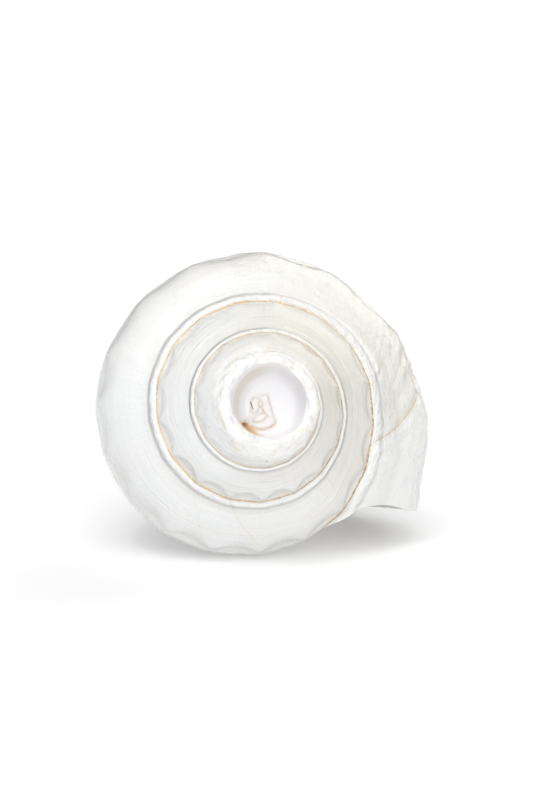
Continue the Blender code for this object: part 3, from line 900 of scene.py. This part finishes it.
class Nodes:
    """A material's node tree, with short ways to add to it."""

    def __init__(self, name):
        self.material = bpy.data.materials.new(name)
        self.material.use_nodes = True
        self.tree = self.material.node_tree
        self.shader = self.tree.nodes["Principled BSDF"]

    def put(self, socket, value):
        """Links or sets a socket."""
        if isinstance(value, Value):
            self.tree.links.new(value.socket, socket)
        elif socket.type == "RGBA":
            socket.default_value = (*value, 1.0)
        else:
            socket.default_value = value

    def surface(self, sockets):
        """Sets the shader's own sockets."""
        for name, value in sockets.items():
            self.put(self.shader.inputs[name], value)

    def add(self, kind, sockets, output=0, **options):
        """An output of a new node with those options and those values in its sockets."""
        node = self.tree.nodes.new("ShaderNode" + kind)
        for option, value in options.items():
            setattr(node, option, value)
        for socket, value in sockets.items():
            self.put(node.inputs[socket], value)
        return Value(self, node.outputs[output])

    def math(self, operation, *values):
        return self.add("Math", dict(enumerate(values)), operation=operation)

    def largest(self, first, second):
        return self.math("MAXIMUM", first, second)

    def distance(self, x, y):
        return self.math("SQRT", x * x + y * y)

    def vector(self, x, y, z):
        return self.add("CombineXYZ", {0: x, 1: y, 2: z})

    def noise(self, vector, scale, detail=2.0, roughness=0.5):
        sockets = {"Vector": vector, "Scale": scale, "Detail": detail, "Roughness": roughness}
        return self.add("TexNoise", sockets, "Fac")

    def step(self, value, low, high):
        """0 at low, 1 at high, smooth between."""
        sockets = {"Value": value, "From Min": low, "From Max": high}
        return self.add("MapRange", sockets, "Result", interpolation_type="SMOOTHSTEP")

    def near(self, value, centre, width):
        """1 at the centre, 0 from that width away on."""
        return 1.0 - self.step(abs(value - centre), 0.0, width)

    def blend(self, share, first, second):
        return self.add("Mix", {0: share, 6: first, 7: second}, 2, data_type="RGBA")

    def bump(self, height, strength, distance):
        sockets = {"Strength": strength, "Distance": distance, "Height": height}
        return self.add("Bump", sockets)


class ShellNodes(Nodes):
    """Nodes that know where they are on the shell, in its own places and in mm, and its shares of worn
    ground, marks and painted shade.
    """

    def __init__(self, name, colour):
        super().__init__(name)
        self.colour = colour
        self.turn, self.row, self.growth = self.attribute("place")
        self.wear_and_shade = self.attribute("wear_and_shade")
        back = FROM_SHELL.inverted()
        own = {"Scale": (1 / MM,) * 3, "Rotation": back.to_euler(), "Location": back.translation}
        own["Vector"] = self.add("TexCoord", {}, "Object")
        self.spot = self.add("Mapping", own)
        self.x, self.y, self.z = self.split(self.spot)

    def paint(self, share, colour):
        """Lays that much of a colour over what is there."""
        self.colour = self.blend(share, self.colour, colour)

    def split(self, vector):
        """The three parts of a vector."""
        node = self.tree.nodes.new("ShaderNodeSeparateXYZ")
        self.put(node.inputs[0], vector)
        return [Value(self, socket) for socket in node.outputs]

    def attribute(self, name):
        return self.split(self.add("Attribute", {}, "Vector", attribute_name=name))

    def streaks(self, along, across, seed, detail=2.0, roughness=0.6):
        """Noise drawn out along the shell's own lines."""
        return self.noise(self.vector(along, across, seed), 1.0, detail, roughness)

    def toward(self, degrees):
        """1 on the side of the shell in that direction from its axis, -1 on the other."""
        c, s = math.cos(math.radians(degrees)), math.sin(math.radians(degrees))
        return (self.x * c + self.y * s) / (self.distance(self.x, self.y) + 3.0)


# The camera: its direction from the virtual tip and, in metres, its distance and shift
CAMERA_AZIMUTH = math.radians(8.05)
CAMERA_ELEVATION = math.radians(8.97)
CAMERA_DISTANCE = 0.660
CAMERA_RIGHT = 0.00153
CAMERA_UP = 0.00046
CAMERA_LENS = 116.7

SKY = 0.25
FLOOR_REACH = 200.0
FLOOR_TONE = 0.75
FLOOR_GLOW = 0.26
# Lamps far away: (name, direction to it, strength, width in degrees)
LAMPS = (
    ("key", (0.0, -0.80, 0.60), 0.90, 50.0),
    ("top_left", (-0.22, -0.28, 0.93), 1.14, 50.0),
    ("glint", (-0.30, -0.35, 0.89), 0.22, 6.0),
    ("right_back", (0.60, 0.60, 0.53), 1.0, 50.0),
    ("front", (0.0, -0.97, 0.10), 1.15, 60.0),
)

# Colours of the outside
WHITE = (0.87, 0.87, 0.858)
COOL = (0.855, 0.87, 0.878)
CREAM = (0.87, 0.83, 0.69)
RIGHT_SIDE_SHADE = (0.66, 0.64, 0.58)
LOW_SIDE_SHADE = (0.70, 0.705, 0.70)
SHADE = (0.58, 0.55, 0.49)
GROOVE_DIRT_AND_SHADE = (0.66, 0.63, 0.56)
LINE = (0.60, 0.47, 0.30)
FAINT_TAN = (0.74, 0.66, 0.54)
STREAK_TAN = (0.70, 0.61, 0.47)
TAN = (0.72, 0.55, 0.34)
CORD_PAINTED_LIGHT = (0.86, 0.86, 0.845)
RIM_WHITE = (0.80, 0.80, 0.79)
PALE_GOLD = (0.90, 0.68, 0.36)
GOLD = (0.80, 0.49, 0.17)
STOP_GOLD = (0.64, 0.45, 0.22)
STAIN = (0.86, 0.72, 0.46)
STAIN_GOLD = (0.84, 0.68, 0.38)
PIT = (0.62, 0.40, 0.14)
BROWN = (0.25, 0.12, 0.04)
# Colours of the lining and of the mouth hole
LINING_WHITE = (0.87, 0.85, 0.82)
LINING_BLUSH = (0.86, 0.76, 0.66)
LINING_PAINTED_GLOW = (0.70, 0.42, 0.24)
DEEP_LINING_TAN = (0.66, 0.48, 0.33)
BOWL_FLOOR_WHITE = (0.625, 0.62, 0.633)
BOWL_WALL_SHADE = (0.52, 0.47, 0.40)
BOWL_PAINTED_GLOW = (1.0, 0.99, 1.0)
EDGE_BROWN = (0.60, 0.45, 0.27)
CRESCENT_BROWN = (0.58, 0.36, 0.14)
CRESCENT_SHADOW = (0.30, 0.14, 0.05)
MARK_DARK = (0.16, 0.06, 0.02)
# Old cracks: (turn at the suture, turn at the widest line, first row, last row, strength)
CRACKS = (
    (-0.858, -0.938, 0.0, 0.78, 0.50), (-0.861, -0.932, 0.1, 0.60, 0.22),
    (-0.793, -0.872, 0.0, 0.80, 0.14), (-0.655, -0.722, 0.03, 0.80, 0.10),
    (-0.492, -0.572, 0.05, 0.97, 0.16), (-0.242, -0.290, 0.15, 0.90, 0.14),
    (-0.375, -0.372, 0.0, 0.12, 0.35), (-1.383, -1.420, 0.25, 0.62, 0.20),
)


def outside_nodes():
    """The outside's nodes, with the values that its layers share."""
    n = ShellNodes("shell outside", WHITE)
    n.hollowed, n.ground, _ = n.wear_and_shade
    n.unground = 1.0 - n.ground
    n.last_whorl = n.step(n.turn, *LAST_WHORL)
    n.beyond_cord = n.step(n.row, 0.09, 0.15)
    n.smooth = 1.0 - n.last_whorl * 0.62
    n.size = GROWTH**n.turn * LIP_RADIUS
    n.lip = n.step(n.growth, GROWTH_STOP - 0.002, GROWTH_STOP + 0.004)
    n.off_lip = 1.0 - n.lip * 0.75
    n.low_right = n.toward(-35)
    n.high_right = n.toward(42)
    patches = n.noise(n.spot, 0.045, 3.0, 0.55)
    n.warm = n.step(n.high_right + (patches - 0.5) * 1.2, 0.0, 1.15)
    n.fine = n.streaks(n.turn * 5.0, n.row * 40.0, 0.0)
    n.finer = n.streaks(n.turn * 8.0, n.row * 90.0, 4.0)
    n.grown = n.streaks(n.growth * 150.0, n.row * 3.0, 1.0, 3.0)
    n.slanted = n.streaks(n.growth * 30.0 + n.row * 9.0, n.row * 2.0, 14.0, 4.0, 0.65)
    away = n.add("TexVoronoi", {"Vector": n.spot, "Scale": 0.55}, "Distance")
    tone = Value(n, away.socket.node.outputs["Color"])
    around = n.step(n.size, 24.0, 15.0)
    n.pits = n.step(away, 0.15, 0.06) * (n.step(tone, 0.60, 0.64) * around)
    return n


def white(n):
    """Cooler at the lower left, creamier at the upper right and towards the middle; with painted shade on the
    right side, and on the last whorl more towards the bottom.
    """
    n.paint(n.step(n.high_right, 0.1, -0.8), COOL)
    creamy = n.warm * (0.20 + n.step(n.size, 44.0, 26.0) * 0.42)
    n.paint(creamy, CREAM)
    n.paint(n.lip * 0.6, COOL)
    # Painted shade: the right side is darkened, less on the lip
    right_side_shade = n.step(n.toward(5), -0.2, 1.0) * (n.off_lip * 0.36)
    n.paint(right_side_shade, RIGHT_SIDE_SHADE)
    # Painted shade: the last whorl is greyed a little, more towards the bottom
    shaded = 0.10 + n.step(n.toward(-100), -0.3, 0.6) * 0.42
    n.paint(shaded * n.last_whorl, LOW_SIDE_SHADE)


def spiral_lines(n):
    """Lines along the whorls, in grooves that hold a little grime and are darkened with painted shade, more
    towards the lower right; one of them stronger.
    """
    coarse = n.streaks(n.turn * 2.2, n.row * 14.0, 8.0, 2.0, 0.5)
    # Grime and painted shade in the grooves, the shade growing towards the lower right
    groove_dirt_and_shade = 0.13 + n.step(n.low_right, -0.9, 0.7) * 0.34
    lined = groove_dirt_and_shade * (n.beyond_cord * n.off_lip) * n.smooth
    n.paint(n.step(n.fine, 0.42, 0.72) * lined, GROOVE_DIRT_AND_SHADE)
    n.paint(n.step(n.finer, 0.42, 0.70) * lined, GROOVE_DIRT_AND_SHADE)
    n.paint(n.step(coarse, 0.5, 0.75) * (n.smooth * 0.20), CREAM)
    marked = n.near(n.row, 0.556, 0.006) * n.step(coarse, 0.45, 0.65)
    n.paint(marked * 0.22, LINE)


def growth_lines(n):
    """Faint and tan; and tan streaks across them towards the edge at the upper right."""
    tint = n.step(n.grown, 0.52, 0.70) * (0.05 + n.warm * 0.10)
    n.paint(tint, FAINT_TAN)
    tanned = n.step(n.row, 0.35, 1.0) * (n.step(n.toward(48), 0.15, 0.85) * n.last_whorl)
    tanned = tanned * (0.08 + n.step(n.slanted, 0.42, 0.68) * 0.42)
    n.paint(tanned * n.off_lip, STREAK_TAN)


def cord(n):
    """The cord beside the suture, whitened as painted light on its raised round, and painted shade in the
    channel beyond it, more towards the lower right.
    """
    seen = n.step(n.turn, *SUTURE_SEEN)
    beside = n.row / (1.0 + n.step(n.turn, -0.40, -0.12))
    # Painted light: the raised cord is whitened
    n.paint(n.step(beside, 0.14, 0.10) * seen * 0.50, CORD_PAINTED_LIGHT)
    # Painted shade in the channel beyond the cord, more towards the lower right
    channel = n.near(beside, 0.17, 0.055) * (0.05 + n.step(n.low_right, -0.8, 0.6) * 0.16)
    n.paint(channel * seen, SHADE)


def hollows(n):
    """Painted shade in the hollows between the knobs, more towards the bottom, less on the last whorl, and
    uneven.
    """
    hollow_shade = 0.05 + n.step(n.toward(-95), 0.1, 0.85) * 0.36
    hollow_shade = hollow_shade * (1.0 - n.last_whorl * 0.55)
    uneven_shade = 0.65 + n.noise(n.spot, 0.25) * 0.7
    # Painted shade in the hollows
    n.paint(n.hollowed * hollow_shade * uneven_shade, SHADE)


def cracks(n):
    """Cracks that healed with a tan line."""
    wander = (n.noise(n.spot, 0.22) - 0.5) * 0.010
    broken = 0.45 + n.step(n.fine, 0.35, 0.6) * 0.55
    for first, last, low, high, strength in CRACKS:
        middle = n.row * (last - first) + first
        thin = 1.0 - n.step(abs(n.turn + wander - middle), 0.0003, 0.0013)
        begun = n.step(n.row, low - 0.03, low + 0.03)
        ends = begun * n.step(n.row, high + 0.04, high - 0.04)
        n.paint(thin * ends * (broken * strength), TAN)


def growth_stop(n):
    """Thin golden lines across the last whorl, where growth stopped for a while."""
    late = n.step(n.turn, -0.24, -0.22) * n.step(n.row, 1.5, 1.2)
    fainter = n.near(n.growth, GROWTH_STOP - 0.0065, 0.0010) * 0.45
    line = n.largest(n.near(n.growth, GROWTH_STOP - 0.003, 0.0014), fainter)
    n.paint(line * late * 0.80, STOP_GOLD)


def sutures(n):
    """Golden and in places brown, broken along their length, with a stain beside them."""
    ragged = n.streaks(n.turn * 62.0, n.row, 2.0, 3.0, 0.7)
    dotted = n.streaks(n.turn * 190.0, n.row, 5.0)
    width = (0.30 + ragged) * 0.0098
    uncovered = n.step(n.turn, FIRST_SUTURE - 0.008, FIRST_SUTURE + 0.008)
    on_line = n.step(n.row / width, 1.5, 0.6) * uncovered
    # The edge of the whorl before carries the other half of the line
    before = n.step(n.turn, -1.0, -1.003)
    uncovered = n.step(n.turn, FIRST_SUTURE - 1.008, FIRST_SUTURE - 0.992)
    from_edge = abs((1.0 - n.row) / (width * 3.0))
    on_line = n.largest(on_line, n.step(from_edge, 1.5, 0.6) * (before * uncovered))
    stretches = n.streaks(n.turn * 9.0, 0.0, 12.0)
    later = n.step(n.turn + n.step(n.row, 0.4, 0.6), *LAST_WHORL)
    stretched = n.step(stretches, 0.50, 0.62) * (later * 0.8)
    dark = n.largest(n.step(n.toward(-32), 0.05, 0.85), stretched) * n.step(dotted, 0.38, 0.60)
    line_colour = n.blend(n.step(dotted, 0.35, 0.65), PALE_GOLD, GOLD)
    line_colour = n.blend(dark, line_colour, BROWN)
    present = 0.40 + n.step(ragged, 0.30, 0.55) * 0.60
    n.paint(on_line * present, line_colour)
    n.paint(n.step(n.row, 0.955, 1.0) * before * 0.26, STAIN)


def ground_rim(n):
    """Clean white, with golden stains and small pits near it."""
    out = n.distance(n.x - HOLE_CENTRE[0], n.y - HOLE_CENTRE[1])
    out = out + n.noise(n.spot, 0.25) * 3.0
    clean = n.largest(n.step(out, 17.5, 13.0), n.ground * 0.6)
    n.paint(clean * 0.90, RIM_WHITE)
    blots = n.streaks(n.turn * 24.0, n.row * 3.0, 9.0, 4.0, 0.7)
    stained = n.step(blots, 0.54, 0.66) * n.step(out, 19.0, 15.0)
    n.paint(stained * 0.38, STAIN_GOLD)
    n.paint(n.pits * 0.8, PIT)


def outside_relief(n):
    """Height of the finest relief: lines, beads on the cord, growth, lumps on the rim, grain, pits."""
    height = n.fine * -1.0 - n.finer * 0.6
    height = height * (n.beyond_cord * n.smooth)
    height = height + n.grown * (0.3 + n.last_whorl * 0.35)
    beads = n.streaks(n.turn * 230.0, n.row * 30.0, 6.0, 1.0, 0.5)
    height = height + beads * n.step(n.row, 0.15, 0.04) * 0.8
    height = height * n.unground
    height = height + n.noise(n.spot, 0.38) * (n.ground * 2.4)
    height = height + n.noise(n.spot, 1.6, 3.0, 0.6) * 0.35
    height = height - n.pits * 0.5
    knobbly = n.step(n.row, 0.15, 0.10) + n.step(n.toward(35), 0.2, 0.8) * n.last_whorl
    lumps = n.noise(n.spot, 0.50) + n.slanted * 1.2
    return height + lumps * (knobbly * n.unground * 1.3)


OUTSIDE_LAYERS = (
    white, spiral_lines, growth_lines, cord, hollows, cracks, growth_stop, sutures, ground_rim
)


def outside_material():
    n = outside_nodes()
    for layer in OUTSIDE_LAYERS:
        layer(n)
    gloss = n.noise(n.spot, 0.35, 3.0, 0.6)
    normal = n.bump(outside_relief(n), 0.7, 0.0006)
    n.surface({"Base Color": n.colour, "Roughness": 0.13 + gloss * 0.20, "Normal": normal})
    n.surface({"Coat Weight": 0.35, "Coat Roughness": 0.10})
    n.surface({"Subsurface Weight": 0.10, "Subsurface Scale": 1.0})
    n.surface({"Subsurface Radius": (0.0016, 0.0012, 0.0009)})
    return n.material


def lining_material():
    n = ShellNodes("shell lining", LINING_WHITE)
    blush = n.noise(n.spot, 0.06)
    n.paint(n.step(blush, 0.35, 0.7) * 0.5, LINING_BLUSH)
    # Painted light: where the tube ends under the mouth hole the lining is tan and glows, as light shining
    # through the thin wall would
    deep = n.step(n.turn, -2.45, -2.7)
    n.paint(deep, DEEP_LINING_TAN)
    grown = n.streaks(n.growth * 90.0, n.row * 2.0, 1.0, 3.0)
    n.surface({"Base Color": n.colour, "Roughness": 0.22, "Normal": n.bump(grown, 0.3, 0.0003)})
    n.surface({"Emission Color": LINING_PAINTED_GLOW, "Emission Strength": deep * 0.25})
    return n.material


def bowl_material():
    n = ShellNodes("shell mouth", BOWL_FLOOR_WHITE)
    outline, crescent, mark = n.wear_and_shade
    x, y = n.x - HOLE_CENTRE[0], n.y - HOLE_CENTRE[1]
    left = n.step(x * -0.94 + y * 0.34, 0.0, 5.0)
    on_wall = n.step(n.z, -CUT_DEPTH - 7.6, -CUT_DEPTH - 5.5)
    below_rim = n.step(n.z, -CUT_DEPTH - 0.8, -CUT_DEPTH - 2.2)
    # Painted shade on the left wall below the rim
    n.paint(on_wall * below_rim * left, BOWL_WALL_SHADE)
    broken = 0.55 + n.step(n.noise(n.spot, 0.5), 0.25, 0.60) * 0.45
    n.paint(outline * broken, EDGE_BROWN)
    # The crescent: brown, and darker with painted shadow towards its left end
    n.paint(n.step(crescent, 0.0, 0.70), CRESCENT_BROWN)
    n.paint(n.step(crescent, 0.60, 1.0), CRESCENT_SHADOW)
    n.paint(mark, MARK_DARK)
    # Painted light: here too the floor glows a little, as light coming through the shell would, but not on
    # the marks
    painted_glow = (1.0 - n.largest(outline, n.largest(crescent, mark))) * 0.18
    normal = n.bump(n.noise(n.spot, 0.8, 3.0, 0.6), 0.25, 0.0004)
    n.surface({"Base Color": n.colour, "Roughness": 0.3, "Normal": normal})
    n.surface({"Emission Color": BOWL_PAINTED_GLOW, "Emission Strength": painted_glow})
    return n.material


def dressed_shell():
    """The shell with its mouth hole cut, in three materials."""
    made, grid, outer_points = shell_surface()
    points, wear_and_shade = shell_points(made, grid, outer_points)
    points = laid(points)
    points[:, 2] = np.maximum(points[:, 2], 0)
    shell = mesh_object("shell", points, made.faces, wear_and_shade, made.places, made.kinds)
    shell.data.materials.append(outside_material())
    shell.data.materials.append(lining_material())
    face_out(shell)
    hole_points, hole_faces, hole_wear = bowl()
    hole = mesh_object("mouth_cutter", laid(hole_points), hole_faces, hole_wear)
    hole.data.materials.append(bowl_material())
    face_out(hole)

    change = shell.modifiers.new("mouth", "BOOLEAN")
    change.operation = "DIFFERENCE"
    change.solver = "EXACT"
    change.material_mode = "TRANSFER"
    change.object = hole
    graph = bpy.context.evaluated_depsgraph_get()
    cut = bpy.data.meshes.new_from_object(shell.evaluated_get(graph))
    shell.modifiers.clear()
    shell.data = cut
    cut.name = "shell"
    bpy.data.objects.remove(hole)
    cut.shade_smooth()
    cut.set_sharp_from_angle(angle=math.radians(50))
    return shell


def studio():
    floor_data = bpy.data.meshes.new("floor")
    corners = [(x * FLOOR_REACH, y * FLOOR_REACH, 0) for x, y in ((-1, -1), (1, -1), (1, 1), (-1, 1))]
    floor_data.from_pydata(corners, [], [(0, 1, 2, 3)])
    floor = bpy.data.objects.new("floor", floor_data)
    bpy.context.scene.collection.objects.link(floor)
    paper = Nodes("pale floor")
    paper.surface({"Base Color": (FLOOR_TONE,) * 3, "Roughness": 0.8, "Specular IOR Level": 0.1})
    paper.surface({"Emission Color": (1.0,) * 3, "Emission Strength": FLOOR_GLOW})
    floor_data.materials.append(paper.material)

    world = bpy.data.worlds.new("studio")
    world.use_nodes = True
    sky = world.node_tree.nodes["Background"].inputs
    sky["Color"].default_value = (1.0, 1.0, 1.0, 1.0)
    sky["Strength"].default_value = SKY
    bpy.context.scene.world = world

    for name, direction, strength, width in LAMPS:
        data = bpy.data.lights.new(name, "SUN")
        data.energy = strength
        data.angle = math.radians(width)
        lamp = bpy.data.objects.new(name, data)
        bpy.context.scene.collection.objects.link(lamp)
        lamp.rotation_euler = Vector(direction).to_track_quat("Z", "Y").to_euler()


def camera():
    level = math.cos(CAMERA_ELEVATION)
    sideways, forwards = math.sin(CAMERA_AZIMUTH) * level, math.cos(CAMERA_AZIMUTH) * level
    back = Vector((-sideways, -forwards, math.sin(CAMERA_ELEVATION)))
    right = Vector((0, 0, 1)).cross(back).normalized()
    up = back.cross(right)
    data = bpy.data.cameras.new("camera")
    data.lens = CAMERA_LENS
    data.sensor_width = 36.0
    data.clip_start = 0.05
    data.clip_end = 500.0
    view = bpy.data.objects.new("camera", data)
    bpy.context.scene.collection.objects.link(view)
    aim = Vector(VIRTUAL_TIP) * MM - right * CAMERA_RIGHT - up * CAMERA_UP
    view.location = aim + back * CAMERA_DISTANCE
    view.rotation_euler = back.to_track_quat("Z", "Y").to_euler()
    bpy.context.scene.camera = view


shell = dressed_shell()
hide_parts(NODE)
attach(shell, "root")
studio()
camera()
bpy.context.scene.view_settings.view_transform = "Standard"
bpy.context.scene.view_settings.look = "None"
